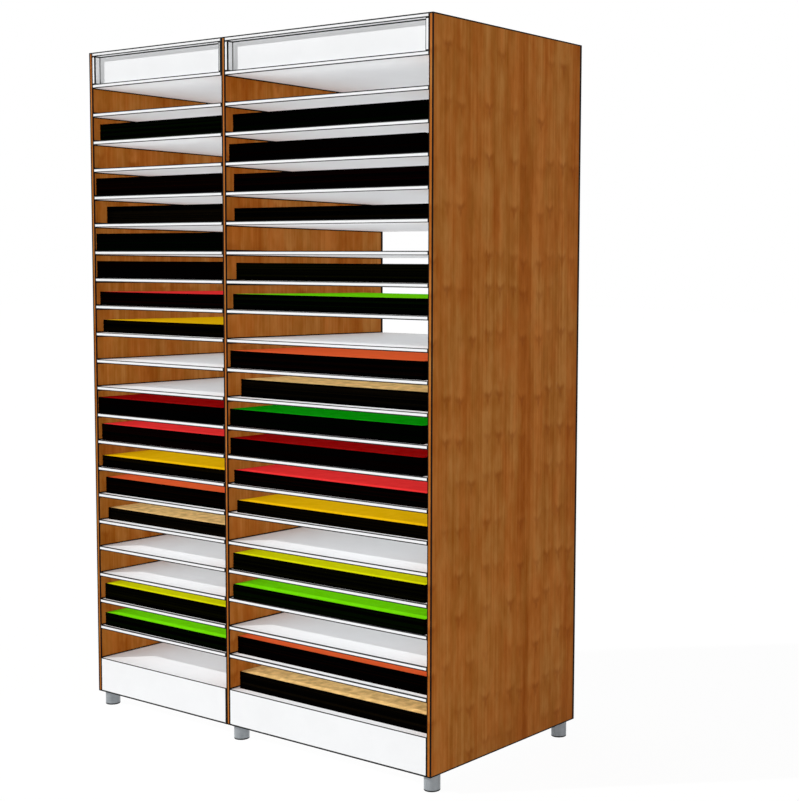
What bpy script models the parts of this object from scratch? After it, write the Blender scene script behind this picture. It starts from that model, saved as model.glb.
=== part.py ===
"""Paper display rack: two bays of thin white shelves between three wood-grain panels.

Lengths are in metres. +Z is up, the front faces -Y, and the origin lies on the
floor under the middle of the rack. Shelves are numbered from the top.
"""
import math
from collections import namedtuple

import bmesh
import bpy

# Sheets that the two bays are made for
LEFT_SHEET_WIDTH = 0.500
RIGHT_SHEET_WIDTH = 0.650
SHEET_DEPTH = 0.500

# Free room round the sheets
LEFT_SIDE_ROOM = 0.012
RIGHT_SIDE_ROOM = 0.022
DEPTH_ROOM = 0.100
FINGER_ROOM = 0.017

# Board thicknesses, and the clearance between pieces that touch
PANEL = 0.012
BOARD = 0.010
CLEAR = 0.0003

# Heights
SHELF_COUNT = 20
SHELF_PITCH = 0.075
PLINTH_HEIGHT = 0.096
DECK_EXTRA = 0.019
TOP_EXTRA = 0.003
HEADER_CLEAR = 0.075
HEADER_RECESS = 0.018

# Housings in the side panels that take the tongues of the boards, and the
# crossing where a board and the centre panel are slotted into each other
TONGUE_PANEL_SHARE = 0.21
STOP_WALL = 0.006
CROSSING_SHARE = 0.5

# Rebate of the plinths that the deck's front edge lies in
SEAT_SHARE = 0.5

# Welded base frame: a flat ring of bars on six round feet
FRAME_PLATE = 0.004
FRAME_BAR = 0.036
FRAME_INSET = 0.010
FOOT_DIAMETER = 0.040
FOOT_HEIGHT = 0.040
FOOT_CHAMFER = 0.0008
FOOT_SIDE_IN = 0.001
FOOT_FRONT_IN = 0.012
FOOT_REAR_IN = 0.020
MIDDLE_FOOT_RIGHT = 0.011
FOOT_SIDES = 40

# How far a cutter runs past the face that it opens
OVERRUN = 0.002

# Worked out from the sizes above
LEFT_BAY = LEFT_SHEET_WIDTH + LEFT_SIDE_ROOM
RIGHT_BAY = RIGHT_SHEET_WIDTH + RIGHT_SIDE_ROOM
WIDTH = LEFT_BAY + RIGHT_BAY + 3 * PANEL
DEPTH = SHEET_DEPTH + DEPTH_ROOM
FRONT = -DEPTH / 2
REAR = DEPTH / 2
LEFT_WALL = -WIDTH / 2 + PANEL
CENTRE_LEFT = LEFT_WALL + LEFT_BAY
CENTRE_RIGHT = CENTRE_LEFT + PANEL
RIGHT_WALL = CENTRE_RIGHT + RIGHT_BAY
TONGUE = PANEL * TONGUE_PANEL_SHARE
HOUSING_STOP = BOARD + STOP_WALL
CROSSING = FRONT + DEPTH * CROSSING_SHARE
STACK_TOP = SHELF_PITCH - BOARD - FINGER_ROOM
BASE_Z = FOOT_HEIGHT
DECK_Z = BASE_Z + PLINTH_HEIGHT
LOWEST_SHELF_Z = DECK_Z + SHELF_PITCH + DECK_EXTRA
TOP_SHELF_Z = LOWEST_SHELF_Z + (SHELF_COUNT - 1) * SHELF_PITCH
HEADER_FLOOR_Z = TOP_SHELF_Z + SHELF_PITCH + TOP_EXTRA
HEADER_TOP_Z = HEADER_FLOOR_Z + HEADER_CLEAR + BOARD

# Stacks of sheets: shelf number, then shares of the stack height, of the side
# room on the left and of the depth room in front, and the colour of the sheets.
# The number after the lowest shelf's is the deck.
LEFT_STACK_SHARES = (
    (2, 0.94, 0.82, 0.14, "light_green"),
    (4, 1.00, 0.18, 0.04, "orange"),
    (5, 0.98, 0.84, 0.33, "kraft"),
    (6, 0.98, 0.18, 0.02, "green"),
    (7, 0.98, 0.18, 0.03, "dark_red"),
    (8, 0.79, 0.60, 0.08, "red"),
    (9, 0.73, 0.50, 0.18, "gold"),
    (12, 0.94, 0.18, 0.01, "dark_red"),
    (13, 0.96, 0.82, 0.05, "red"),
    (14, 0.67, 0.75, 0.06, "gold"),
    (15, 0.94, 0.75, 0.17, "orange"),
    (16, 0.69, 0.82, 0.23, "kraft"),
    (19, 0.92, 0.82, 0.08, "yellow"),
    (20, 0.75, 0.82, 0.08, "light_green"),
)
RIGHT_STACK_SHARES = (
    (2, 0.92, 0.82, 0.08, "green"),
    (3, 0.94, 0.14, 0.08, "dark_red"),
    (4, 0.93, 0.86, 0.09, "red"),
    (5, 0.69, 0.86, 0.10, "gold"),
    (7, 0.93, 0.86, 0.15, "yellow"),
    (8, 0.84, 0.64, 0.08, "light_green"),
    (10, 0.93, 0.14, 0.07, "orange"),
    (11, 0.95, 0.86, 0.29, "kraft"),
    (12, 0.92, 0.09, 0.05, "green"),
    (13, 0.92, 0.18, 0.04, "dark_red"),
    (14, 0.75, 0.64, 0.07, "red"),
    (15, 0.66, 0.86, 0.12, "gold"),
    (17, 0.90, 0.41, 0.06, "yellow"),
    (18, 0.77, 0.55, 0.02, "light_green"),
    (20, 0.93, 0.36, 0.21, "orange"),
    (21, 0.93, 0.59, 0.23, "kraft"),
)

# Finishes: colour as red, green and blue on a screen, roughness, metallic
FINISHES = {
    "wood_laminate": ((0.58, 0.35, 0.15), 0.55, 0.0),
    "white_board": ((0.96, 0.96, 0.96), 0.50, 0.0),
    "foot_metal": ((0.55, 0.58, 0.60), 0.35, 1.0),
    "red": ((0.90, 0.18, 0.18), 0.80, 0.0),
    "dark_red": ((0.60, 0.00, 0.00), 0.80, 0.0),
    "gold": ((0.88, 0.66, 0.02), 0.80, 0.0),
    "orange": ((0.90, 0.36, 0.18), 0.80, 0.0),
    "kraft": ((0.82, 0.66, 0.40), 0.85, 0.0),
    "yellow": ((0.92, 0.92, 0.02), 0.80, 0.0),
    "light_green": ((0.48, 0.90, 0.02), 0.80, 0.0),
    "green": ((0.00, 0.56, 0.02), 0.80, 0.0),
}

# left and right are the inner faces of the bay's two panels
Bay = namedtuple("Bay", "name left right sheet_width side_room stacks")
BAYS = (
    Bay("left", LEFT_WALL, CENTRE_LEFT, LEFT_SHEET_WIDTH, LEFT_SIDE_ROOM, LEFT_STACK_SHARES),
    Bay("right", CENTRE_RIGHT, RIGHT_WALL, RIGHT_SHEET_WIDTH, RIGHT_SIDE_ROOM, RIGHT_STACK_SHARES),
)


def clear_scene():
    """Remove every object that the file opened with."""
    for item in list(bpy.data.objects):
        bpy.data.objects.remove(item)


def to_linear(channel):
    """Turn a screen colour channel into a linear one."""
    if channel <= 0.04045:
        return channel / 12.92
    return ((channel + 0.055) / 1.055) ** 2.4


def new_material(name, finish):
    """A plain Principled material in one of the named finishes."""
    colour, roughness, metallic = FINISHES[finish]
    material = bpy.data.materials.new(name + "_" + finish)
    material.use_nodes = True
    shader = material.node_tree.nodes["Principled BSDF"]
    shader.inputs["Base Color"].default_value = [to_linear(c) for c in colour] + [1.0]
    shader.inputs["Roughness"].default_value = roughness
    shader.inputs["Metallic"].default_value = metallic
    return material


def add_prism(mesh, outline, low, high):
    """Add an outline in X and Y, listed anticlockwise, raised from low to high."""
    bottom = [mesh.verts.new((x, y, low)) for x, y in outline]
    top = [mesh.verts.new((x, y, high)) for x, y in outline]
    mesh.faces.new(list(reversed(bottom)))
    mesh.faces.new(top)
    for first in range(len(outline)):
        second = (first + 1) % len(outline)
        mesh.faces.new((bottom[first], bottom[second], top[second], top[first]))


def add_box(mesh, low, high):
    """Add a box between its lowest and its highest corner."""
    outline = ((low[0], low[1]), (high[0], low[1]), (high[0], high[1]), (low[0], high[1]))
    add_prism(mesh, outline, low[2], high[2])


def add_foot(mesh, centre_x, centre_y):
    """Add a round foot with a chamfered lower edge, turned from the floor up to the panels."""
    radius = FOOT_DIAMETER / 2
    profile = ((radius - FOOT_CHAMFER, 0), (radius, FOOT_CHAMFER), (radius, BASE_Z - CLEAR))
    rings = []
    for reach, height in profile:
        ring = []
        for step in range(FOOT_SIDES):
            angle = 2 * math.pi * step / FOOT_SIDES
            place_x = centre_x + reach * math.cos(angle)
            place_y = centre_y + reach * math.sin(angle)
            ring.append(mesh.verts.new((place_x, place_y, height)))
        rings.append(ring)
    mesh.faces.new(list(reversed(rings[0])))
    mesh.faces.new(rings[-1])
    for lower, upper in zip(rings, rings[1:]):
        for step in range(FOOT_SIDES):
            after = (step + 1) % FOOT_SIDES
            mesh.faces.new((lower[step], lower[after], upper[after], upper[step]))


def finish_object(name, mesh, finish):
    """Make the object of a node, or a guide where finish is None."""
    data = bpy.data.meshes.new(name)
    mesh.to_mesh(data)
    mesh.free()
    made = bpy.data.objects.new(name, data)
    bpy.context.scene.collection.objects.link(made)
    if finish is None:
        made.hide_render = True
        made.display_type = "WIRE"
    else:
        data.materials.append(new_material(name, finish))
    return made


def combine(target, tool, operation):
    """Cut the tool's volume out of the target, or join it on."""
    modifier = target.modifiers.new(operation.lower(), "BOOLEAN")
    modifier.operation = operation
    modifier.solver = "EXACT"
    modifier.object = tool


def shelf_z(level):
    """Height of a shelf's top face; the level after the last shelf is the deck."""
    if level > SHELF_COUNT:
        return DECK_Z
    return TOP_SHELF_Z - (level - 1) * SHELF_PITCH


def board_tops():
    """Height of the top face of every board below the header's top."""
    return [shelf_z(level) for level in range(1, SHELF_COUNT + 2)] + [HEADER_FLOOR_Z]


def make_side_panel(name, left, inner_face, inward):
    """An outer panel, with stopped housings in its inner face for the boards' tongues."""
    mesh = bmesh.new()
    add_box(mesh, (left, FRONT, BASE_Z), (left + PANEL, REAR, HEADER_TOP_Z))
    panel = finish_object(name, mesh, "wood_laminate")
    ends = (inner_face - inward * OVERRUN, inner_face + inward * (TONGUE + CLEAR))
    start = FRONT + HOUSING_STOP
    cuts = bmesh.new()
    for top in board_tops():
        low = (min(ends), start, top - BOARD - CLEAR)
        add_box(cuts, low, (max(ends), REAR + OVERRUN, top + CLEAR))
    low = (min(ends), start, HEADER_TOP_Z - BOARD - CLEAR)
    add_box(cuts, low, (max(ends), REAR + OVERRUN, HEADER_TOP_Z + OVERRUN))
    combine(panel, finish_object(name + "_housings", cuts, None), "DIFFERENCE")


def make_centre_panel():
    """The panel between the bays, slotted from the rear for the boards that cross it."""
    mesh = bmesh.new()
    add_box(mesh, (CENTRE_LEFT, FRONT, BASE_Z), (CENTRE_RIGHT, REAR, HEADER_TOP_Z))
    panel = finish_object("centre_panel", mesh, "wood_laminate")
    left = CENTRE_LEFT - OVERRUN
    right = CENTRE_RIGHT + OVERRUN
    slots = bmesh.new()
    for top in board_tops():
        low = (left, CROSSING, top - BOARD - CLEAR)
        add_box(slots, low, (right, REAR + OVERRUN, top + CLEAR))
    low = (left, FRONT + HOUSING_STOP, HEADER_TOP_Z - BOARD - CLEAR)
    add_box(slots, low, (right, REAR + OVERRUN, HEADER_TOP_Z + OVERRUN))
    combine(panel, finish_object("centre_panel_slots", slots, None), "DIFFERENCE")
    sign_slot = bmesh.new()
    start = FRONT + HEADER_RECESS
    low = (left, start, HEADER_FLOOR_Z)
    add_box(sign_slot, low, (right, start + BOARD + 2 * CLEAR, HEADER_TOP_Z + OVERRUN))
    combine(panel, finish_object("centre_panel_sign_slot", sign_slot, None), "DIFFERENCE")


def make_board(name, top, front, slot_end):
    """A board across both bays: a tongue at each end, and a slot for the centre panel.

    The front is plain as far back as the housings start, and the slot runs from
    the front edge back to slot_end.
    """
    left = LEFT_WALL + CLEAR
    right = RIGHT_WALL - CLEAR
    slot_left = CENTRE_LEFT - CLEAR
    slot_right = CENTRE_RIGHT + CLEAR
    start = FRONT + HOUSING_STOP + CLEAR
    outline = (
        (left, front), (slot_left, front), (slot_left, slot_end), (slot_right, slot_end),
        (slot_right, front), (right, front), (right, start), (RIGHT_WALL + TONGUE, start),
        (RIGHT_WALL + TONGUE, REAR), (LEFT_WALL - TONGUE, REAR),
        (LEFT_WALL - TONGUE, start), (left, start),
    )
    mesh = bmesh.new()
    add_prism(mesh, outline, top - BOARD, top)
    finish_object(name, mesh, "white_board")


def make_header_sign():
    """The blank sign of both bays, dropped in from above: one long panel with four cheeks."""
    low = HEADER_FLOOR_Z + CLEAR
    high = HEADER_TOP_Z - BOARD - CLEAR
    back = FRONT + HEADER_RECESS + CLEAR
    rear = back + BOARD
    outline = [(LEFT_WALL + CLEAR, rear), (LEFT_WALL + CLEAR, FRONT)]
    for cheek, face in ((LEFT_WALL + CLEAR + BOARD, CENTRE_LEFT - CLEAR),
                        (CENTRE_RIGHT + CLEAR + BOARD, RIGHT_WALL - CLEAR)):
        outline += [(cheek, FRONT), (cheek, back), (face - BOARD, back), (face - BOARD, FRONT)]
        outline.append((face, FRONT))
        if face < CENTRE_RIGHT:
            outline += [(face, back), (CENTRE_RIGHT + CLEAR, back), (CENTRE_RIGHT + CLEAR, FRONT)]
    outline.append((RIGHT_WALL - CLEAR, rear))
    mesh = bmesh.new()
    add_prism(mesh, outline, low, high)
    finish_object("header_sign", mesh, "white_board")


def make_plinth(bay):
    """The tall board under the deck at the front, with a rebate that the deck lies in."""
    mesh = bmesh.new()
    left = bay.left + CLEAR
    right = bay.right - CLEAR
    add_box(mesh, (left, FRONT, BASE_Z), (right, FRONT + BOARD, DECK_Z))
    plinth = finish_object(bay.name + "_plinth", mesh, "white_board")
    rebate = bmesh.new()
    low = (left - OVERRUN, FRONT + BOARD * SEAT_SHARE, DECK_Z - BOARD - CLEAR)
    add_box(rebate, low, (right + OVERRUN, FRONT + BOARD + OVERRUN, DECK_Z + OVERRUN))
    combine(plinth, finish_object(bay.name + "_plinth_rebate", rebate, None), "DIFFERENCE")


def make_base_frame():
    """The welded frame under the panels: flat bars round two windows, on six feet."""
    radius = FOOT_DIAMETER / 2
    middle = CENTRE_RIGHT + MIDDLE_FOOT_RIGHT
    side = WIDTH / 2 - FOOT_SIDE_IN - radius
    low = BASE_Z - CLEAR - FRAME_PLATE
    high = BASE_Z - CLEAR
    left = -WIDTH / 2 + FRAME_INSET
    front = FRONT + FRAME_INSET
    plate = bmesh.new()
    add_box(plate, (left, front, low), (-left, -front, high))
    frame = finish_object("base_frame", plate, "foot_metal")
    windows = bmesh.new()
    for start, end in ((left + FRAME_BAR, middle - FRAME_BAR / 2),
                       (middle + FRAME_BAR / 2, -left - FRAME_BAR)):
        add_box(windows, (start, front + FRAME_BAR, low - OVERRUN),
                (end, -front - FRAME_BAR, high + OVERRUN))
    combine(frame, finish_object("base_frame_windows", windows, None), "DIFFERENCE")
    feet = bmesh.new()
    for centre_x in (-side, middle, side):
        add_foot(feet, centre_x, FRONT + FOOT_FRONT_IN + radius)
        add_foot(feet, centre_x, REAR - FOOT_REAR_IN - radius)
    combine(frame, finish_object("base_frame_feet", feet, None), "UNION")


def make_stacks(bay):
    """The stacks of sheets that lie on the bay's shelves and deck."""
    for level, height_share, side_share, front_share, colour in bay.stacks:
        if level > SHELF_COUNT + 1:
            continue
        left = bay.left + side_share * bay.side_room
        front = FRONT + front_share * DEPTH_ROOM
        low = shelf_z(level) + CLEAR
        mesh = bmesh.new()
        add_box(mesh, (left, front, low),
                (left + bay.sheet_width, front + SHEET_DEPTH, low + height_share * STACK_TOP))
        finish_object("%s_stack_%02d" % (bay.name, level), mesh, colour)


def make_rack():
    """Build every piece of the rack."""
    clear_scene()
    make_side_panel("left_side_panel", -WIDTH / 2, LEFT_WALL, -1)
    make_centre_panel()
    make_side_panel("right_side_panel", RIGHT_WALL, RIGHT_WALL, 1)
    for level in range(1, SHELF_COUNT + 1):
        make_board("shelf_%02d" % level, shelf_z(level), FRONT, CROSSING + CLEAR)
    make_board("deck", DECK_Z, FRONT + BOARD * SEAT_SHARE + CLEAR, CROSSING + CLEAR)
    make_board("header_floor", HEADER_FLOOR_Z, FRONT, CROSSING + CLEAR)
    make_board("header_top", HEADER_TOP_Z, FRONT, FRONT + HOUSING_STOP + CLEAR)
    make_header_sign()
    make_base_frame()
    for bay in BAYS:
        make_plinth(bay)
        make_stacks(bay)


make_rack()
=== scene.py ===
"""Looks of the paper display rack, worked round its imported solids.

Two bays of thin white boards stand between three panels in bamboo laminate. A
blank sign closes the top of each bay and a plinth the bottom, the rack stands on
six steel feet, and stacks of coloured sheets lie on the boards. Lengths are in
metres, +Z is up, the front faces -Y and the floor is at z = 0.
"""
import logging
import math
from dataclasses import dataclass, field, replace
from enum import Enum
from functools import cached_property

import bpy
import numpy as np
from mathutils import Matrix, Vector


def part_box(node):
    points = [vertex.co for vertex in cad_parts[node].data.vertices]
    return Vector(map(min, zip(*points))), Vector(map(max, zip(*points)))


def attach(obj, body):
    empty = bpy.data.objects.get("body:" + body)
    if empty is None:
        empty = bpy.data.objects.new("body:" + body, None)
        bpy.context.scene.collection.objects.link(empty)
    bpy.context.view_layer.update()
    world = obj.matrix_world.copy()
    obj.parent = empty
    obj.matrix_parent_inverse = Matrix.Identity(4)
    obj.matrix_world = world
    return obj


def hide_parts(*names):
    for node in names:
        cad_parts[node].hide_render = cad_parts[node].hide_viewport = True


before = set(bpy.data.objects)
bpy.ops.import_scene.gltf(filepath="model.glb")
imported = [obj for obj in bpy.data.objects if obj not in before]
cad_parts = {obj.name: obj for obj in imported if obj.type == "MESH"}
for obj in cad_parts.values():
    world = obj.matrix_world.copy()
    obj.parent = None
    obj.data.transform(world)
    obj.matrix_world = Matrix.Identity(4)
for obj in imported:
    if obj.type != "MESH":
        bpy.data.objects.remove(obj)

LOG = logging.getLogger("rack")
Triple = tuple[float, float, float]
Socket = bpy.types.NodeSocket

# The boards that cross both bays, and the plinths, one to each bay.
BOARDS = tuple(f"shelf_{level:02d}" for level in range(1, 21)) + ("deck", "header_floor", "header_top")
PLINTHS = ("left_plinth", "right_plinth")
# Both ends of each bay, where the panels beside it have their faces.
LEFT_BAY = (-0.598, -0.086)
RIGHT_BAY = (-0.074, 0.598)
# How far the wide line left of the centre panel reaches over the left bay's boards.
POST_BAND = 0.0020


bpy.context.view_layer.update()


def screen(red: float, green: float, blue: float) -> Triple:
    """Turn a colour as a screen shows it, from 0 to 255, into linear light.

    A channel under 4 % is divided by 12.92, and a brighter one is raised to 2.4
    after its small offset.

    Args:
        red: Red channel.
        green: Green channel.
        blue: Blue channel.

    Returns:
        The three linear channels from 0 to 1.
    """
    shares = np.array((red, green, blue)) / 255
    linear = np.where(shares <= 0.04045, shares / 12.92, ((shares + 0.055) / 1.055) ** 2.4)
    return tuple(float(channel) for channel in linear)


@dataclass(frozen=True)
class Box:
    """A block between its lowest and its highest corner.

    The line at its right end is wider than the others by right_band.
    """

    low: Triple
    high: Triple
    right_band: float = 0.0

    @classmethod
    def of_node(cls, node: str) -> "Box":
        """The block that a solid of the frame fills."""
        low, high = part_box(node)
        return cls(tuple(low), tuple(high))

    def cut(self, axis: int, low: float, high: float) -> "Box":
        """The same block with other limits along one axis.

        Args:
            axis: 0, 1 or 2 for X, Y or Z.
            low: New lower limit.
            high: New upper limit.

        Returns:
            The cut block.
        """
        lows = list(self.low)
        highs = list(self.high)
        lows[axis] = low
        highs[axis] = high
        return replace(self, low=tuple(lows), high=tuple(highs))


@dataclass(frozen=True)
class Noise:
    """Soft noise: its scale, how many finer layers it has and how strong they are."""

    scale: float
    detail: float = 2.0
    rough: float = 0.5


class Graph:
    """The shader nodes of one material or of the world, written one call at a time."""

    # A line's reach is 1: it is full up to its core, fades to its end, and
    # shows on points that lie outside their block by less than the slack.
    LINE_CORE = 0.85
    LINE_END = 1.1
    LINE_SLACK = 0.3

    def __init__(self, owner: bpy.types.ID) -> None:
        """Start with no nodes.

        Args:
            owner: The new material or world.
        """
        self.owner = owner
        self.owner.use_nodes = True
        self.tree = self.owner.node_tree
        self.tree.nodes.clear()

    @classmethod
    def of_material(cls, name: str) -> "Graph":
        """The nodes of a new material."""
        return cls(bpy.data.materials.new(name))

    @cached_property
    def place(self) -> Socket:
        """A point's own place on the piece, which doesn't change when the piece slides."""
        return self.add("ShaderNodeTexCoord").outputs["Object"]

    @cached_property
    def axes(self) -> list[Socket]:
        """The X, Y and Z of that place."""
        return self.parts(self.place)

    def add(self, kind: str, **settings: object) -> bpy.types.Node:
        """Add a node and set its options.

        Args:
            kind: Blender's identifier of the node.
            **settings: Option names and their values.

        Returns:
            The new node.
        """
        node = self.tree.nodes.new(kind)
        for option, value in settings.items():
            setattr(node, option, value)
        return node

    def feed(self, socket: Socket, value: object) -> None:
        """Link a socket to another one, or give it a plain value."""
        if isinstance(value, bpy.types.NodeSocket):
            self.tree.links.new(value, socket)
        else:
            socket.default_value = value

    def fed(self, kind: str, *values: object, **settings: object) -> list[Socket]:
        """Add a node whose first inputs get these values.

        Args:
            kind: Blender's identifier of the node.
            *values: Plain values or sockets, in the order of the inputs.
            **settings: Option names and their values.

        Returns:
            The node's outputs.
        """
        node = self.add(kind, **settings)
        for socket, value in zip(node.inputs, values):
            self.feed(socket, value)
        return list(node.outputs)

    def math(self, operation: str, *values: object, clamp: bool = False) -> Socket:
        """Work out a number from up to three others."""
        return self.fed("ShaderNodeMath", *values, operation=operation, use_clamp=clamp)[0]

    def vector(self, operation: str, *values: object) -> Socket:
        """Work out a vector from up to three others."""
        return self.fed("ShaderNodeVectorMath", *values, operation=operation)[0]

    def parts(self, vector: Socket) -> list[Socket]:
        """The X, Y and Z of a vector."""
        return self.fed("ShaderNodeSeparateXYZ", vector)

    def joined(self, *values: object) -> Socket:
        """A vector made of three numbers."""
        return self.fed("ShaderNodeCombineXYZ", *values)[0]

    def blend(self, share: object, first: object, second: object, way: str = "MIX") -> Socket:
        """Mix two colours.

        Args:
            share: How much of the second colour shows.
            first: A colour of three channels or a socket.
            second: A colour of three channels or a socket.
            way: Blender's name of the way of mixing.

        Returns:
            The mixed colour.
        """
        node = self.add("ShaderNodeMix", data_type="RGBA", blend_type=way)
        # The node has sockets for each kind of data, and 6, 7 and 2 are the colours'.
        for number, value in ((0, share), (6, first), (7, second)):
            self.feed(node.inputs[number], (*value, 1.0) if isinstance(value, tuple) else value)
        return node.outputs[2]

    def noise(self, vector: Socket, look: Noise) -> Socket:
        """Soft noise from 0 to 1 round a half."""
        node = self.add("ShaderNodeTexNoise")
        self.feed(node.inputs["Vector"], vector)
        node.inputs["Scale"].default_value = look.scale
        node.inputs["Detail"].default_value = look.detail
        node.inputs["Roughness"].default_value = look.rough
        return node.outputs[0]

    def dice(self, *values: object) -> Socket:
        """One random number from 0 to 1 for each set of three numbers."""
        return self.fed("ShaderNodeTexWhiteNoise", self.joined(*values), noise_dimensions="3D")[0]

    def span(self, value: Socket, start: float, end: float, low: float = 0.0, high: float = 1.0) -> Socket:
        """Spread a number from start and end to low and high, and stop it there."""
        return self.fed("ShaderNodeMapRange", value, start, end, low, high)[0]

    def around(self, noise: Socket, middle: float, spread: float) -> Socket:
        """A number that noise moves up and down round its middle."""
        return self.math("MULTIPLY_ADD", noise, spread, middle - spread / 2)

    def hump(self, value: Socket, centre: object, reach: float) -> Socket:
        """A soft hump: one less the square of the distance over the reach, squared, or nothing."""
        away = self.math("DIVIDE", self.math("SUBTRACT", value, centre), reach)
        under = self.math("MULTIPLY_ADD", away, self.math("MULTIPLY", away, -1.0), 1.0)
        kept = self.math("MAXIMUM", under, 0.0)
        return self.math("MULTIPLY", kept, kept)

    def attribute(self, name: str) -> Socket:
        """A number that the mesh holds for each of its points."""
        return self.add("ShaderNodeAttribute", attribute_name=name).outputs["Fac"]

    def arrises(self, boxes: tuple[Box, ...], low: Triple, high: Triple) -> Socket:
        """Mark a narrow line on both sides of every arris of some blocks.

        Each of a point's three distances from a block's nearest faces is divided
        by the line's reach along that axis. The smallest is nought on the skin.
        The middle one then says how far the nearest arris is, and the mark is
        where it is under 1.

        Args:
            boxes: The blocks.
            low: How far a line runs from an arris of the lowest faces, along X, Y and Z.
            high: The same from the highest faces.

        Returns:
            A number from 0, off the lines, to 1.
        """
        mark = 0.0
        for box in boxes:
            far = (high[0] + box.right_band, high[1], high[2])
            from_low = self.vector("DIVIDE", self.vector("SUBTRACT", self.place, box.low), low)
            from_high = self.vector("DIVIDE", self.vector("SUBTRACT", box.high, self.place), far)
            x, y, z = self.parts(self.vector("MINIMUM", from_low, from_high))
            lesser = self.math("MINIMUM", x, y)
            greater = self.math("MAXIMUM", x, y)
            middle = self.math("MAXIMUM", lesser, self.math("MINIMUM", greater, z))
            inside = self.math("GREATER_THAN", self.math("MINIMUM", lesser, z), -self.LINE_SLACK)
            line = self.math("MULTIPLY", inside, self.span(middle, self.LINE_CORE, self.LINE_END, 1.0, 0.0))
            mark = line if mark == 0.0 else self.math("MAXIMUM", mark, line)
        return mark

    def finished(self, colour: Socket, rough: Socket, height: Socket, relief: float,
                 gloss: float, metal: float = 0.0) -> bpy.types.Material:
        """Close the material with its one shader.

        Args:
            colour: Colour of the surface.
            rough: Its roughness.
            height: Height of the surface's relief from 0 to 1.
            relief: Depth of the relief in metres.
            gloss: Strength of the mirror part.
            metal: How much of a metal it is, from 0 to 1.

        Returns:
            The material.
        """
        shader = self.add("ShaderNodeBsdfPrincipled")
        self.feed(shader.inputs["Base Color"], colour)
        self.feed(shader.inputs["Roughness"], rough)
        shader.inputs["Metallic"].default_value = metal
        shader.inputs["Specular IOR Level"].default_value = gloss
        bump = self.add("ShaderNodeBump")
        bump.inputs["Strength"].default_value = 1.0
        bump.inputs["Distance"].default_value = relief
        self.feed(bump.inputs["Height"], height)
        self.feed(shader.inputs["Normal"], bump.outputs[0])
        self.fed("ShaderNodeOutputMaterial", shader.outputs[0])
        return self.owner


@dataclass(frozen=True)
class Sheet:
    """One kind of sheet, with the name of its finish in the record.

    The fibres lighten and darken it as far as mottle says, in blotches of the
    scale that blotches gives.
    """

    slot: str
    colour: Triple
    mottle: float = 0.05
    blotches: float = 34.0


class Paper(Enum):
    """The kinds of sheets on the rack."""

    RED = Sheet("paper_red", screen(248, 52, 52))
    DARK_RED = Sheet("paper_dark_red", screen(152, 2, 2))
    GOLD = Sheet("paper_gold", screen(247, 192, 3))
    ORANGE = Sheet("paper_orange", screen(243, 100, 50))
    KRAFT = Sheet("paper_kraft", screen(236, 192, 120), mottle=0.30, blotches=46.0)
    YELLOW = Sheet("paper_yellow", screen(226, 226, 2))
    LIGHT_GREEN = Sheet("paper_light_green", screen(116, 226, 2))
    GREEN = Sheet("paper_green", screen(2, 153, 4))


@dataclass(frozen=True)
class Strip:
    """Where a point of a panel lies among the strips of bamboo.

    The distance across over a strip's width is the strip's number and the share
    inside it. A strip swells towards its middle and has a random tone of its own.
    The pattern is shifted by the turn, so that no two panels match.
    """

    turn: float
    across: Socket
    number: Socket
    inside: Socket
    swell: Socket
    tone: Socket


@dataclass(frozen=True)
class Grain:
    """Noise drawn out along the height, and how strongly it lightens the wood.

    The height counts less than the distance across, by squeeze, and what the
    noise has between its limits is spread to 0 and 1.
    """

    noise: Noise
    squeeze: float
    limits: tuple[float, float]
    strength: float = 0.0

    def drawn(self, graph: Graph, strip: Strip, seed: float) -> Socket:
        """Draw the noise on a panel.

        Args:
            graph: The panel's nodes.
            strip: Where a point lies among the strips.
            seed: Shift of the noise, so that no two look alike.

        Returns:
            A number from 0 to 1 round a half.
        """
        height = graph.math("MULTIPLY", graph.axes[2], self.squeeze)
        return graph.noise(graph.joined(strip.across, seed, height), self.noise)

    def added(self, graph: Graph, value: Socket, shade: object) -> Socket:
        """The shade with the noise's part added."""
        return graph.math("MULTIPLY_ADD", graph.span(value, *self.limits), self.strength, shade)


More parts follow.
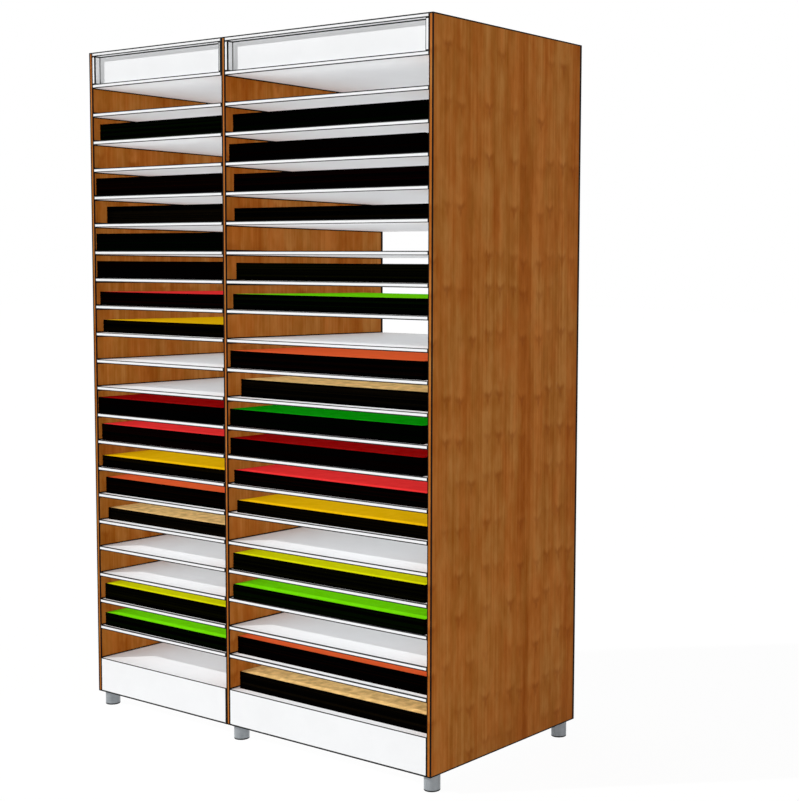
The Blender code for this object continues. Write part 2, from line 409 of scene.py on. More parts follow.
@dataclass(frozen=True)
class Knuckles:
    """The knuckles of the canes, one to each row of each strip.

    A row is pitch high and has its knuckles at a height of its own. Widths and
    the bud's place are in widths of a strip. Line, tick, halo and tail are given
    by how far they lie above the row's own height and by their reach, both in
    heights of a knuckle. The draws keep the random numbers apart.
    """

    pitch: float = 0.112
    height: float = 0.008
    stagger: float = 0.16
    lowest: float = 0.36
    wander: float = 0.46
    grown: tuple[float, float] = (0.15, 0.80)
    bud: float = 0.3
    bud_wander: float = 0.4
    width: float = 0.50
    bow: float = 0.8
    bow_width: float = 0.40
    ragged: float = 3.0
    line: tuple[float, float] = (1.5, 1.4)
    tick: tuple[float, float] = (0.4, 2.4)
    tick_width: float = 0.13
    halo: tuple[float, float] = (3.3, 2.0)
    tail: tuple[float, float] = (-2.4, 5.0)
    row_draw: float = 0.5
    slip_draw: float = 3.5
    grown_draw: float = 7.5

    def marks(self, graph: Graph, strip: Strip, streak: Socket) -> tuple[Socket, ...]:
        """Mark the knuckles, the pale halo above each and the dark tail below it.

        A knuckle is a line across its strip, bowed at the bud and made ragged by
        the streaks, with a short tick at the bud. Some are strong and some faint.

        Args:
            graph: The panel's nodes.
            strip: Where a point lies among the strips.
            streak: The noise of the streaks.

        Returns:
            The marks of knuckles, halos and tails, from 0 to 1.
        """
        share = self.height / self.pitch
        slip = graph.dice(strip.number, self.slip_draw, strip.turn)
        shift = graph.math("MULTIPLY", slip, self.stagger)
        row = graph.math("ADD", graph.math("DIVIDE", graph.axes[2], self.pitch), shift)
        cell = graph.math("FLOOR", row)
        height = graph.math("FRACT", row)
        draw = graph.dice(self.row_draw, cell, strip.turn)
        centre = graph.math("MULTIPLY_ADD", draw, self.wander, self.lowest)
        growth = graph.dice(strip.number, cell, strip.turn + self.grown_draw)
        grown = graph.span(growth, *self.grown)
        bud = graph.math("MULTIPLY_ADD", strip.tone, self.bud_wander, self.bud)
        bow = graph.hump(strip.inside, bud, self.bow_width)
        bowed = graph.math("MULTIPLY_ADD", bow, self.bow * share, height)
        ragged = graph.math("MULTIPLY_ADD", streak, self.ragged * share, bowed)

        def near(value: Socket, place: tuple[float, float]) -> Socket:
            """A hump of the value round a place above the row's own height."""
            return graph.hump(value, graph.math("ADD", centre, place[0] * share), place[1] * share)

        wide = graph.math("MULTIPLY", graph.hump(strip.inside, bud, self.width), grown)
        line = graph.math("MULTIPLY", wide, near(ragged, self.line))
        narrow = graph.hump(strip.inside, bud, self.tick_width)
        tick = graph.math("MULTIPLY", narrow, near(ragged, self.tick))
        knuckle = graph.math("MAXIMUM", line, graph.math("MULTIPLY", tick, grown))
        halo = graph.math("MULTIPLY", wide, near(ragged, self.halo))
        tail = graph.math("MULTIPLY", graph.math("MULTIPLY", grown, strip.swell), near(height, self.tail))
        return knuckle, halo, tail


@dataclass(frozen=True)
class BambooLaminate:
    """Bamboo strips side by side, lying upright, with the knuckles of the canes.

    The shades say how much each mark lightens or darkens the wood, from the base
    shade up. The draws and seeds keep the random numbers and the noises apart.
    line_low is the reach of the edge lines from the lowest faces along Y and Z.
    """

    dark: Triple = screen(150, 79, 10)
    middle: Triple = screen(170, 100, 35)
    light: Triple = screen(188, 120, 56)
    knuckle: Triple = screen(138, 66, 6)
    edge: Triple = screen(8, 5, 4)
    ruddy: Triple = (1.02, 0.93, 0.82)
    olive: Triple = (0.98, 1.06, 1.13)
    strip_width: float = 0.052
    swell_reach: float = 0.90
    band: Grain = Grain(Noise(40.0, 1.0), 0.06, (0.28, 0.72), 0.36)
    streak: Grain = Grain(Noise(120.0, 2.0, 0.6), 0.022, (0.28, 0.72), 0.44)
    fibre: Grain = Grain(Noise(240.0, 3.0, 0.6), 0.012, (0.30, 0.70), 0.26)
    patch: Grain = Grain(Noise(44.0, 3.0, 0.6), 0.34, (0.30, 0.70), 0.44)
    hue: Grain = Grain(Noise(24.0, 2.0, 0.6), 0.24, (0.44, 0.72))
    knuckles: Knuckles = Knuckles()
    base_shade: float = -0.36
    tone_shade: float = 0.44
    halo_shade: float = 0.16
    tail_shade: float = -0.16
    strip_hue: float = 0.16
    knuckle_share: float = 0.52
    knuckle_dent: float = -0.5
    tone_draw: float = 0.5
    hue_draw: float = 9.5
    hue_seed: float = 3.0
    fibre_seed: float = 0.3
    line_low: tuple[float, float] = (0.0036, 0.0034)
    line_high: Triple = (0.0027, 0.0085, 0.0034)
    joint_line: float = 0.0030
    skin: float = 0.0004
    roughness: float = 0.50
    rough_spread: float = 0.16
    relief: float = 0.00012
    gloss: float = 0.04

    def strip_at(self, graph: Graph, turn: float) -> Strip:
        """Find the strip that a point lies in.

        X and Y are added, so that the strips run across both a panel's face and
        its edge.

        Args:
            graph: The panel's nodes.
            turn: Shift of the pattern, so that no two panels match.

        Returns:
            The point's place among the strips.
        """
        x, y, _ = graph.axes
        across = graph.math("ADD", graph.math("ADD", x, y), turn)
        column = graph.math("DIVIDE", across, self.strip_width)
        number = graph.math("FLOOR", column)
        inside = graph.math("FRACT", column)
        swell = graph.hump(inside, 0.5, self.swell_reach)
        return Strip(turn, across, number, inside, swell, graph.dice(number, self.tone_draw, turn))

    def toned(self, graph: Graph, strip: Strip, shade: Socket) -> Socket:
        """Turn a shade into a colour, ruddy in one place and olive in another.

        A shade of 0 is dark, one of a half is the middle colour and 1 is light.

        Args:
            graph: The panel's nodes.
            strip: Where a point lies among the strips.
            shade: How light the wood is, from 0 to 1.

        Returns:
            The colour.
        """
        lower = graph.blend(graph.span(shade, 0.0, 0.5), self.dark, self.middle)
        colour = graph.blend(graph.span(shade, 0.5, 1.0), lower, self.light)
        drawn = self.hue.drawn(graph, strip, strip.turn + self.hue_seed)
        own = graph.dice(strip.number, self.hue_draw, strip.turn)
        hue = graph.math("MULTIPLY_ADD", own, self.strip_hue, drawn)
        tint = graph.blend(graph.span(hue, *self.hue.limits), self.ruddy, self.olive)
        return graph.blend(1.0, colour, tint, "MULTIPLY")

    def joints(self, graph: Graph, faces: tuple[float, ...], boards: tuple[Box, ...]) -> Socket:
        """Mark the joint line on a panel above and below every board's end.

        A point is on the line where it is on a face that boards meet and its
        height is no further from a board's middle than half the board's thickness
        and the line.

        Args:
            graph: The panel's nodes.
            faces: Places along X of the panel's faces that boards meet.
            boards: The boards.

        Returns:
            A number from 0, off the lines, to 1.
        """
        x, _, z = graph.axes
        near = 0.0
        for board in boards:
            middle = (board.low[2] + board.high[2]) / 2
            reach = (board.high[2] - board.low[2]) / 2 + self.joint_line
            near = graph.math("ADD", graph.math("COMPARE", z, middle, reach), near)
        met = 0.0
        for face in faces:
            met = graph.math("ADD", graph.math("COMPARE", x, face, self.skin), met)
        return graph.math("MULTIPLY", near, met, clamp=True)

    def material(self, name: str, panel: Box, turn: float, left_line: float,
                 faces: tuple[float, ...], boards: tuple[Box, ...]) -> bpy.types.Material:
        """Make the laminate for one panel.

        Bands, streaks, each strip's tone, fibres, patches, halos and tails are
        added up to one shade, which gives the colour. The knuckles, the joint
        lines and the edge lines are laid over it.

        Args:
            name: Name of the panel.
            panel: The block that it fills.
            turn: Shift of the pattern, so that no two panels match.
            left_line: Width of the line beside the left arris of the front edge.
            faces: Places along X of the panel's faces that boards meet.
            boards: The boards that meet it.

        Returns:
            The material.
        """
        graph = Graph.of_material(name + "_bamboo")
        strip = self.strip_at(graph, turn)
        streak = self.streak.drawn(graph, strip, turn)
        fibre = self.fibre.drawn(graph, strip, self.fibre_seed)
        mark, halo, tail = self.knuckles.marks(graph, strip, streak)
        shade = self.band.added(graph, self.band.drawn(graph, strip, turn), self.base_shade)
        shade = self.streak.added(graph, streak, shade)
        tone = graph.math("MULTIPLY", strip.tone, strip.swell)
        shade = graph.math("MULTIPLY_ADD", tone, self.tone_shade, shade)
        shade = self.fibre.added(graph, fibre, shade)
        shade = self.patch.added(graph, self.patch.drawn(graph, strip, turn), shade)
        shade = graph.math("MULTIPLY_ADD", halo, self.halo_shade, shade)
        shade = graph.math("MULTIPLY_ADD", tail, self.tail_shade, shade, clamp=True)
        colour = self.toned(graph, strip, shade)
        colour = graph.blend(graph.math("MULTIPLY", mark, self.knuckle_share), colour, self.knuckle)
        colour = graph.blend(self.joints(graph, faces, boards), colour, self.edge)
        low = (left_line, *self.line_low)
        colour = graph.blend(graph.arrises((panel,), low, self.line_high), colour, self.edge)
        rough = graph.around(fibre, self.roughness, self.rough_spread)
        level = graph.math("MULTIPLY_ADD", mark, self.knuckle_dent, fibre)
        return graph.finished(colour, rough, level, self.relief, self.gloss)


@dataclass(frozen=True)
class WhiteBoard:
    """White melamine on thin board, with the dark line of its edge band."""

    face: Triple = screen(244, 245, 246)
    patch: Triple = screen(241, 242, 243)
    edge: Triple = screen(6, 6, 6)
    cloud: Noise = Noise(9.0, 3.0, 0.6)
    cloud_span: tuple[float, float] = (0.35, 0.7)
    peel: Noise = Noise(620.0)
    roughness: float = 0.50
    rough_spread: float = 0.14
    relief: float = 0.00004
    gloss: float = 0.10

    def material(self, name: str, boxes: tuple[Box, ...], low: Triple,
                 high: Triple) -> bpy.types.Material:
        """Make the melamine for one board.

        Args:
            name: Name of the piece.
            boxes: Blocks whose arrises show the edge band's dark line.
            low: Reach of the lines from the lowest faces, along X, Y and Z.
            high: The same from the highest faces.

        Returns:
            The material.
        """
        graph = Graph.of_material(name + "_melamine")
        cloud = graph.noise(graph.place, self.cloud)
        peel = graph.noise(graph.place, self.peel)
        colour = graph.blend(graph.span(cloud, *self.cloud_span), self.face, self.patch)
        colour = graph.blend(graph.arrises(boxes, low, high), colour, self.edge)
        rough = graph.around(peel, self.roughness, self.rough_spread)
        return graph.finished(colour, rough, peel, self.relief, self.gloss)


@dataclass(frozen=True)
class TurnedSteel:
    """Turned steel tube with a dark glide at the floor."""

    bright: Triple = screen(158, 163, 167)
    dull: Triple = screen(142, 147, 151)
    glide: Triple = screen(8, 8, 9)
    glide_height: float = 0.0042
    glide_full: float = 0.8
    turning: Noise = Noise(1500.0, 2.0, 0.6)
    round_stretch: float = 0.02
    haze: Noise = Noise(55.0)
    haze_share: float = 0.5
    tone_span: tuple[float, float] = (0.35, 0.65)
    roughness: float = 0.46
    rough_spread: float = 0.18
    relief: float = 0.00003
    gloss: float = 0.20
    metal: float = 0.12

    def material(self, name: str) -> bpy.types.Material:
        """Make the steel, with lines round the feet as a lathe leaves them.

        The lines are fine noise in which X and Y hardly count, so that it is
        drawn out round a foot.

        Args:
            name: Name of the piece.

        Returns:
            The material.
        """
        graph = Graph.of_material(name + "_steel")
        x, y, z = graph.axes
        across = graph.math("MULTIPLY", x, self.round_stretch)
        deep = graph.math("MULTIPLY", y, self.round_stretch)
        turning = graph.noise(graph.joined(across, deep, z), self.turning)
        haze = graph.noise(graph.place, self.haze)
        lathe = graph.math("MULTIPLY", turning, 1.0 - self.haze_share)
        tone = graph.math("MULTIPLY_ADD", haze, self.haze_share, lathe)
        colour = graph.blend(graph.span(tone, *self.tone_span), self.dull, self.bright)
        full = self.glide_height * self.glide_full
        colour = graph.blend(graph.span(z, full, self.glide_height, 1.0, 0.0), colour, self.glide)
        rough = graph.around(turning, self.roughness, self.rough_spread)
        return graph.finished(colour, rough, turning, self.relief, self.gloss, self.metal)


@dataclass(frozen=True)
class PaperSheets:
    """Coloured sheets in a pile: the top sheet's colour, and dark cut edges."""

    edge: Triple = screen(1, 1, 1)
    line: Triple = (0.0018, 0.0036, 0.0018)
    tint: float = 0.004
    tinted_from: float = 0.4
    fibre: Noise = Noise(260.0, 4.0, 0.65)
    fibre_stretch: float = 0.35
    fleck: Noise = Noise(900.0)
    fleck_seed: float = 0.4
    cloud_share: float = 0.75
    mix_span: tuple[float, float] = (0.34, 0.62)
    lighten: float = 0.4
    whiten: float = 0.1
    lightest: float = 0.98
    roughness: float = 0.82
    rough_spread: float = 0.12
    relief: float = 0.00006
    gloss: float = 0.0

    def shades(self, sheet: Sheet) -> tuple[Triple, Triple]:
        """A sheet's darkest and lightest colour, as far apart as its mottle says."""
        dark = tuple(channel * (1 - sheet.mottle) for channel in sheet.colour)
        light = tuple(channel * (1 + self.lighten * sheet.mottle) + self.whiten * sheet.mottle
                      for channel in sheet.colour)
        return dark, tuple(min(self.lightest, channel) for channel in light)

    def material(self, name: str, sheet: Sheet, top: Box) -> bpy.types.Material:
        """Make the sheets of one pile.

        Args:
            name: Name of the piece.
            sheet: Kind of its sheets.
            top: Block whose upper arris is the top sheet's dark rim.

        Returns:
            The material.
        """
        graph = Graph.of_material(name + "_paper")
        x, y, _ = graph.axes
        laid = graph.joined(x, graph.math("MULTIPLY", y, self.fibre_stretch), 0.0)
        fibre = graph.noise(laid, self.fibre)
        cloud = graph.noise(graph.place, Noise(sheet.blotches))
        fleck = graph.noise(graph.joined(x, y, self.fleck_seed), self.fleck)
        fine = graph.math("MULTIPLY", fibre, 1.0 - self.cloud_share)
        mix = graph.math("MULTIPLY_ADD", cloud, self.cloud_share, fine)
        face = graph.blend(graph.span(mix, *self.mix_span), *self.shades(sheet))
        tinted = tuple(channel * self.tint for channel in sheet.colour)
        leaf = graph.span(graph.attribute("leaf"), self.tinted_from, 1.0)
        side = graph.blend(leaf, self.edge, tinted)
        colour = graph.blend(graph.attribute("top_sheet"), side, face)
        colour = graph.blend(graph.arrises((top,), self.line, self.line), colour, self.edge)
        rough = graph.around(fibre, self.roughness, self.rough_spread)
        return graph.finished(colour, rough, fleck, self.relief, self.gloss)


def dress(node: str, material: bpy.types.Material) -> None:
    """Give a solid of the frame its finish.

    Args:
        node: Name of the solid.
        material: The finish.
    """
    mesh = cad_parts[node].data
    mesh.materials.clear()
    mesh.materials.append(material)
    LOG.info("%s: %s", node, material.name)


@dataclass
class Panels:
    """The three full-height panels in bamboo laminate.

    Each has its own turn of the pattern, its own width of the line beside the
    left arris of its front edge, and its own faces that boards meet.
    """

    finish: BambooLaminate = field(default_factory=BambooLaminate)
    panels: dict[str, tuple[float, float, tuple[float, ...]]] = field(default_factory=lambda: {
        "left_side_panel": (1.31, 0.0042, LEFT_BAY[:1]),
        "centre_panel": (2.77, 0.0048, (LEFT_BAY[1], RIGHT_BAY[0])),
        "right_side_panel": (4.19, 0.0030, RIGHT_BAY[1:])})

    def build(self) -> None:
        """Dress the panels."""
        boards = tuple(Box.of_node(node) for node in BOARDS)
        for node, (turn, left_line, faces) in self.panels.items():
            panel = Box.of_node(node)
            dress(node, self.finish.material(node, panel, turn, left_line, faces, boards))


@dataclass
class Boards:
    """Shelves, deck, header boards and plinths, all of one white board.

    The reaches of the lines are across along X, deep along Y, and thin or full
    along Z, with an outer one for the rack's top. A face that is hidden is taken
    to lie beyond by as much as that says, so that it shows no line.
    """

    eye: float = 1.235
    across: float = 0.0024
    deep: float = 0.0065
    thin: float = 0.0016
    full: float = 0.0025
    outer: float = 0.0032
    plinth_deep: float = 0.0030
    plinth_foot: float = 0.0042
    beyond: float = 0.05
    finish: WhiteBoard = field(default_factory=WhiteBoard)

    def bay_boxes(self, node: str) -> tuple[Box, ...]:
        """The parts of a board that show in the two bays.

        The deck's front edge lies in the plinths and shows no line, so its blocks
        are taken to run on to the front. The line left of the centre panel is a
        wide one, and a part of it lies on the left bay's boards.

        Args:
            node: Name of the board.

        Returns:
            A block for each bay.
        """
        whole = Box.of_node(node)
        if node == "deck":
            whole = whole.cut(1, whole.low[1] - self.beyond, whole.high[1])
        return replace(whole.cut(0, *LEFT_BAY), right_band=POST_BAND), whole.cut(0, *RIGHT_BAY)

    def lines(self, node: str) -> tuple[Triple, Triple]:
        """Reaches of a board's lines from its lowest and its highest faces.

        An arris between the edge and a face that shows has half of its line on
        that face, so a thin line is left for the edge: the upper one of a board
        below the eye, and the lower one of a board above it.

        Args:
            node: Name of the board.

        Returns:
            Two reaches along X, Y and Z.
        """
        below_eye = Box.of_node(node).high[2] < self.eye
        low, high = (self.full, self.thin) if below_eye else (self.thin, self.full)
        if node == "header_top":
            high = self.outer
        return (self.across, self.deep, low), (self.across, self.deep, high)

    def build_plinth(self, node: str) -> None:
        """Dress a plinth, whose rear arris is hidden by the deck and shows no line.

        Args:
            node: Name of the plinth.
        """
        whole = Box.of_node(node)
        band = POST_BAND if node == "left_plinth" else 0.0
        box = replace(whole.cut(1, whole.low[1], whole.high[1] + self.beyond), right_band=band)
        low = (self.across, self.plinth_deep, self.plinth_foot)
        high = (self.across, self.plinth_deep, self.thin)
        dress(node, self.finish.material(node, (box,), low, high))

    def build(self) -> None:
        """Dress the boards and the plinths."""
        for node in BOARDS:
            dress(node, self.finish.material(node, self.bay_boxes(node), *self.lines(node)))
        for node in PLINTHS:
            self.build_plinth(node)


@dataclass
class HeaderSign:
    """The blank sign of both bays with its four cheeks."""

    node: str = "header_sign"
    cheek: float = 0.010
    recess: float = 0.0183
    clearance: float = 0.0003
    low_line: Triple = (0.0019, 0.0045, 0.0022)
    high_line: Triple = (0.0019, 0.0045, 0.0030)
    post_band: float = 0.0042
    finish: WhiteBoard = field(default_factory=WhiteBoard)

    def boxes(self) -> tuple[Box, ...]:
        """The sign's two fields and the cheeks beside them.

        The wide line left of the centre panel covers much of the cheek there.

        Returns:
            The blocks.
        """
        whole = Box.of_node(self.node)
        front = whole.low[1]
        bays = ((whole.low[0], LEFT_BAY[1] - self.clearance, self.post_band),
                (RIGHT_BAY[0] + self.clearance, whole.high[0], 0.0))
        found = []
        for left, right, band in bays:
            blank = whole.cut(0, left + self.cheek, right - self.cheek)
            found.append(blank.cut(1, front + self.recess, whole.high[1]))
            found.append(whole.cut(0, left, left + self.cheek))
            found.append(replace(whole.cut(0, right - self.cheek, right), right_band=band))
        return tuple(found)

    def build(self) -> None:
        """Dress the sign."""
        dress(self.node, self.finish.material(self.node, self.boxes(), self.low_line, self.high_line))


@dataclass
class BaseFrame:
    """The welded steel frame and its six feet."""

    node: str = "base_frame"
    finish: TurnedSteel = field(default_factory=TurnedSteel)

    def build(self) -> None:
        """Dress the frame."""
        dress(self.node, self.finish.material(self.node))


@dataclass
class SheetPile:
    """A pile of sheets, shown as thin leaves that lie a hair out of line.

    Each side has steps points, and the top has rings down to its middle. A leaf
    has its lower and its upper edge at the shares of its thickness in edges.
    """

    node: str
    sheet: Sheet
    seed: int
    leaf: float = 0.0023
    fewest: int = 4
    edges: tuple[float, float] = (0.12, 0.88)
    margin: float = 0.0010
    stray: float = 0.00045
    twist: float = 0.0008
    groove: float = 0.00035
    lift: float = 0.0005
    steps: int = 6
    rings: int = 6
    finish: PaperSheets = field(default_factory=PaperSheets)

    def outline(self) -> np.ndarray:
        """Points round a square from -1 to 1, anticlockwise.

        Each side runs from its corner to the next one, and a point is the first
        corner plus a share of the way.

        Returns:
            An array of points by two.
        """
        corners = np.array(((-1.0, -1.0), (1.0, -1.0), (1.0, 1.0), (-1.0, 1.0)))
        shares = np.arange(self.steps) / self.steps
        along = np.roll(corners, -1, axis=0) - corners
        points = corners[:, None, :] + along[:, None, :] * shares[None, :, None]
        return points.reshape(-1, 2)

    def rows(self, height: float) -> tuple[np.ndarray, np.ndarray, np.ndarray]:
        """Heights, setbacks and leaf numbers of the rows up the sides.

        A leaf has a lower edge, an upper edge and, at its full thickness, a
        groove, and only the groove is set back.

        Args:
            height: Height of the pile.

        Returns:
            Three arrays with one value a row.
        """
        leaves = max(self.fewest, round(height / self.leaf))
        numbers = np.repeat(np.arange(leaves), 3)
        within = np.tile((*self.edges, 1.0), leaves)
        setbacks = np.tile((0.0, 0.0, self.groove), leaves)
        heights = (numbers + within) * height / leaves
        heights[0] = 0.0
        setbacks[-1] = 0.0
        return heights, setbacks, numbers

    def grid(self, box: Box) -> tuple[np.ndarray, np.ndarray, np.ndarray]:
        """The pile's surface as rows of points round it.

        A side point is the middle, plus the leaf's stray, plus the half size
        times the outline's point turned by the leaf's small twist. The top goes on
        in rings that shrink evenly to the middle. Towards the corners every point
        is lifted by the fourth powers of its shares of the way out.

        Args:
            box: The block that the pile fills.

        Returns:
            Points as rows by columns by three, each row's leaf tone, and each
            row's mark of the top sheet.
        """
        draw = np.random.default_rng(self.seed)
        low = np.array(box.low)
        high = np.array(box.high)
        middle = (low + high)[:2] / 2
        half = (high - low)[:2] / 2 - self.margin
        height = high[2] - low[2] - self.lift
        outline = self.outline()
        heights, setbacks, numbers = self.rows(height)
        leaves = numbers[-1] + 1
        owners = np.concatenate((numbers, np.full(self.rings - 1, numbers[-1])))
        strays = draw.uniform(-self.stray, self.stray, (leaves, 2))[owners]
        twists = draw.uniform(-self.twist, self.twist, leaves)[owners]
        tones = draw.uniform(0.0, 1.0, leaves)[numbers]
        reach = half[None, :] - setbacks[:, None]
        shrink = 1 - np.arange(1, self.rings) / self.rings
        reach = np.concatenate((reach, reach[-1] * shrink[:, None]))
        heights = np.concatenate((heights, np.full(self.rings - 1, height)))
        marks = np.concatenate((np.zeros(len(numbers) - 1), np.ones(self.rings)))
        tones = np.concatenate((tones, np.ones(self.rings - 1)))
        flat = reach[:, None, :] * outline[None, :, :]
        turned = flat[..., ::-1] * np.array((-1.0, 1.0)) * twists[:, None, None]
        place = middle + strays[:, None, :] + flat + turned
        out = flat / half
        rise = self.lift * (out ** 4).sum(axis=2) / 2 * (heights / height)[:, None]
        level = low[2] + heights[:, None] + rise
        return np.dstack((place, level)), tones, marks

    def mesh(self) -> bpy.types.Mesh:
        """Put the surface into a mesh, closed below by one face and above by a fan."""
        points, tones, marks = self.grid(Box.of_node(self.node))
        rows, columns = points.shape[:2]
        numbers = np.arange(rows * columns).reshape(rows, columns)
        after = np.roll(numbers, -1, axis=1)
        quads = np.stack((numbers[:-1], after[:-1], after[1:], numbers[1:]), axis=-1)
        tip = rows * columns
        fan = np.stack((numbers[-1], after[-1], np.full(columns, tip)), axis=-1)
        faces = quads.reshape(-1, 4).tolist() + fan.tolist() + [numbers[0][::-1].tolist()]
        tip_point = points[-1].mean(axis=0)
        every = np.concatenate((points.reshape(-1, 3), tip_point[None, :]))
        mesh = bpy.data.meshes.new(self.node + "_leaves")
        mesh.from_pydata(every.tolist(), [], faces)
        for name, values in (("leaf", tones), ("top_sheet", marks)):
            spread = np.append(np.repeat(values, columns), values[-1]).astype(np.float32)
            mesh.attributes.new(name, "FLOAT", "POINT").data.foreach_set("value", spread)
        mesh.update()
        return mesh

    def rim(self, mesh: bpy.types.Mesh) -> Box:
        """The block whose upper arris is the top sheet's rim."""
        places = np.zeros(len(mesh.vertices) * 3, np.float32)
        mesh.vertices.foreach_get("co", places)
        places = places.reshape(-1, 3)
        top = places[places[:, 2] > places[:, 2].max() - 2 * self.lift]
        low = top.min(axis=0).tolist()
        high = top.max(axis=0).tolist()
        return Box((low[0], low[1], low[2] - self.leaf), tuple(high))

    def build(self) -> int:
        """Build the pile in place of its solid.

        Returns:
            How many faces it has.
        """
        mesh = self.mesh()
        mesh.materials.append(self.finish.material(self.node, self.sheet, self.rim(mesh)))
        pile = bpy.data.objects.new(self.node + "_sheets", mesh)
        bpy.context.scene.collection.objects.link(pile)
        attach(pile, self.node)
        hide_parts(self.node)
        pile.visible_diffuse = False
        pile.visible_glossy = False
        return len(mesh.polygons)


@dataclass
class Stock:
    """Every pile of sheets on the rack, by bay and shelf."""

    left: dict[int, Paper] = field(default_factory=lambda: {
        2: Paper.LIGHT_GREEN, 4: Paper.ORANGE, 5: Paper.KRAFT, 6: Paper.GREEN, 7: Paper.DARK_RED,
        8: Paper.RED, 9: Paper.GOLD, 12: Paper.DARK_RED, 13: Paper.RED, 14: Paper.GOLD,
        15: Paper.ORANGE, 16: Paper.KRAFT, 19: Paper.YELLOW, 20: Paper.LIGHT_GREEN})
    right: dict[int, Paper] = field(default_factory=lambda: {
        2: Paper.GREEN, 3: Paper.DARK_RED, 4: Paper.RED, 5: Paper.GOLD, 7: Paper.YELLOW,
        8: Paper.LIGHT_GREEN, 10: Paper.ORANGE, 11: Paper.KRAFT, 12: Paper.GREEN,
        13: Paper.DARK_RED, 14: Paper.RED, 15: Paper.GOLD, 17: Paper.YELLOW,
        18: Paper.LIGHT_GREEN, 20: Paper.ORANGE, 21: Paper.KRAFT})

    def build(self) -> None:
        """Build every pile."""
        seed = 0
        for bay, papers in (("left", self.left), ("right", self.right)):
            for level, paper in papers.items():
                seed += 1
                pile = SheetPile(f"{bay}_stack_{level:02d}", paper.value, seed)
                LOG.info("%s: %d faces", pile.node, pile.build())


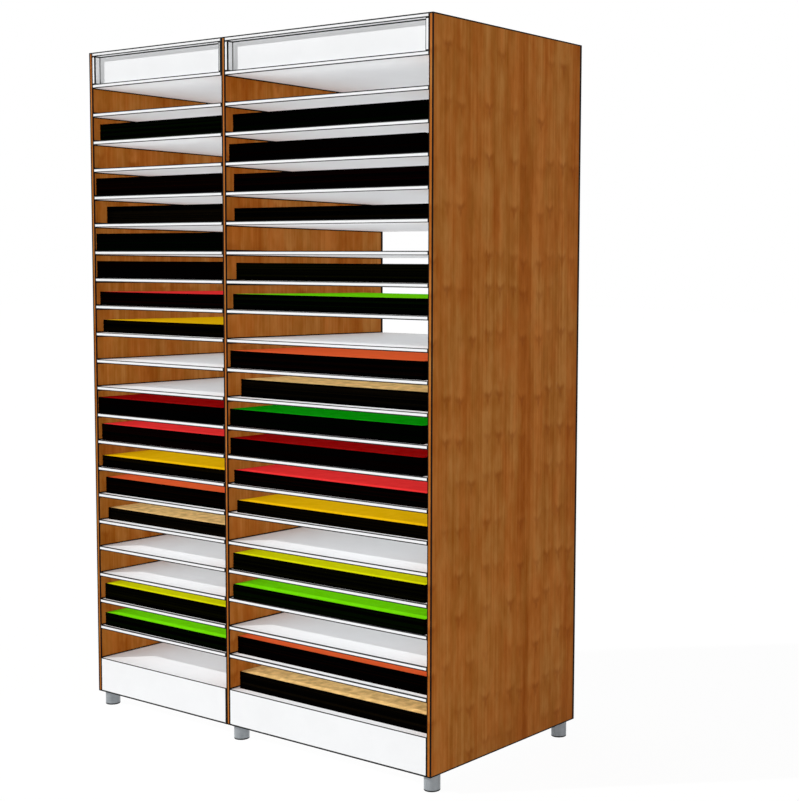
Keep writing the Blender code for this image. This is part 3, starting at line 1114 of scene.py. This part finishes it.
@dataclass
class Studio:
    """Pale floor, even light from all round, and one key lamp from the front left.

    A fill is given by the way that its light travels and by its strength. The
    floor looks white but for its shadow share, in which it takes light and shade.
    """

    white: tuple[float, ...] = (1.0, 1.0, 1.0, 1.0)
    world_light: float = 0.30
    key_power: float = 2.2
    key_way: Triple = (1.0, 1.0, -0.805)
    key_blur: float = 1.0
    fills: dict[str, tuple[Triple, float]] = field(default_factory=lambda: {
        "fill_above": ((0.0, 0.0, -1.0), 0.36), "fill_below": ((0.0, 0.0, 1.0), 0.65),
        "fill_right": ((-1.0, 0.0, 0.0), 0.60), "fill_left": ((1.0, 0.0, 0.0), 0.30),
        "fill_front": ((0.0, 1.0, 0.0), 0.36), "fill_rear": ((0.0, -1.0, 0.0), 0.60)})
    floor_reach: float = 40.0
    floor_shades: tuple[Triple, Triple] = (screen(232, 232, 232), screen(236, 236, 236))
    floor_grain: Noise = Noise(30.0)
    floor_white: float = 1.036
    shadow_share: float = 0.08

    def seen(self, graph: Graph) -> Socket:
        """1 where the camera, a mirror or glass looks, and 0 for plain light."""
        path = graph.add("ShaderNodeLightPath")
        mark = graph.math("MAXIMUM", path.outputs["Is Camera Ray"], path.outputs["Is Glossy Ray"])
        return graph.math("MAXIMUM", mark, path.outputs["Is Transmission Ray"])

    def world(self) -> None:
        """Light from all round, white to the eye and softer on the rack."""
        graph = Graph(bpy.data.worlds.new("studio"))
        strength = graph.span(self.seen(graph), 0.0, 1.0, self.world_light, 1.0)
        graph.fed("ShaderNodeOutputWorld", graph.fed("ShaderNodeBackground", self.white, strength)[0])
        bpy.context.scene.world = graph.owner

    def floor(self) -> None:
        """A plain white floor that keeps a light shadow of the rack."""
        reach = self.floor_reach
        mesh = bpy.data.meshes.new("floor")
        mesh.from_pydata([(-reach, -reach, 0.0), (reach, -reach, 0.0), (reach, reach, 0.0),
                          (-reach, reach, 0.0)], [], [(0, 1, 2, 3)])
        graph = Graph.of_material("floor_white")
        grain = graph.noise(graph.place, self.floor_grain)
        matt = graph.fed("ShaderNodeBsdfDiffuse", graph.blend(grain, *self.floor_shades))[0]
        white = graph.fed("ShaderNodeEmission", self.white, self.floor_white)[0]
        share = graph.math("MULTIPLY", self.seen(graph), 1.0 - self.shadow_share)
        mixed = graph.fed("ShaderNodeMixShader", share, matt, white)[0]
        graph.fed("ShaderNodeOutputMaterial", mixed)
        mesh.materials.append(graph.owner)
        floor = bpy.data.objects.new("floor", mesh)
        bpy.context.scene.collection.objects.link(floor)

    def lamp(self, name: str, way: Triple, power: float, shadow: bool) -> None:
        """Add a lamp that is far off.

        Args:
            name: Name of the lamp.
            way: Direction that its light travels in.
            power: Its strength.
            shadow: Whether it casts shadows. A fill doesn't, so it reaches between the boards.
        """
        lamp = bpy.data.lights.new(name, "SUN")
        lamp.energy = power
        lamp.angle = math.radians(self.key_blur)
        lamp.use_shadow = shadow
        holder = bpy.data.objects.new(name, lamp)
        holder.rotation_euler = Vector(way).to_track_quat("-Z", "Y").to_euler()
        bpy.context.scene.collection.objects.link(holder)

    def build(self) -> None:
        """Build the floor and the lights."""
        self.world()
        self.floor()
        self.lamp("key", self.key_way, self.key_power, True)
        for name, (way, power) in self.fills.items():
            self.lamp(name, way, power, False)


@dataclass(frozen=True)
class Viewpoint:
    """The camera: its place, its turns in radians, and its lens in points of the picture.

    The lens axis meets the picture at axis_across, right of the picture's middle.
    """

    place: Triple = (2.8145, -2.9512, 1.2350)
    yaw: float = 0.62444
    pitch: float = 0.08606
    roll: float = 0.00969
    focal: float = 1495.15
    axis_across: float = 535.0
    picture_width: int = 799
    sensor: float = 36.0
    farthest: float = 200.0

    def build(self) -> bpy.types.Object:
        """Place the camera.

        The view's direction turns by the yaw from +Y towards -X and dips by the
        pitch. Its right and up turn about it by the roll.

        Returns:
            The camera.
        """
        ahead = Vector((-math.sin(self.yaw) * math.cos(self.pitch),
                        math.cos(self.yaw) * math.cos(self.pitch), -math.sin(self.pitch)))
        level = Vector((math.cos(self.yaw), math.sin(self.yaw), 0.0))
        upright = level.cross(ahead)
        right = math.cos(self.roll) * level + math.sin(self.roll) * upright
        up = -math.sin(self.roll) * level + math.cos(self.roll) * upright
        lens = bpy.data.cameras.new("view")
        lens.sensor_fit = "HORIZONTAL"
        lens.sensor_width = self.sensor
        lens.lens = self.focal / self.picture_width * self.sensor
        lens.shift_x = -(self.axis_across - self.picture_width / 2) / self.picture_width
        lens.clip_end = self.farthest
        camera = bpy.data.objects.new("view", lens)
        turn = Matrix((right, up, -ahead)).transposed()
        camera.matrix_world = Matrix.Translation(self.place) @ turn.to_4x4()
        bpy.context.scene.collection.objects.link(camera)
        bpy.context.scene.camera = camera
        return camera


def main() -> None:
    """Dress and build the rack, then the studio and the camera."""
    logging.basicConfig(level=logging.INFO, format="%(message)s")
    for part in (Panels(), Boards(), HeaderSign(), BaseFrame(), Stock(), Studio()):
        LOG.info(type(part).__name__)
        part.build()
    LOG.info("camera at %s", tuple(Viewpoint().build().location))
    bpy.context.scene.view_settings.view_transform = "Standard"


if __name__ == "__main__":
    main()
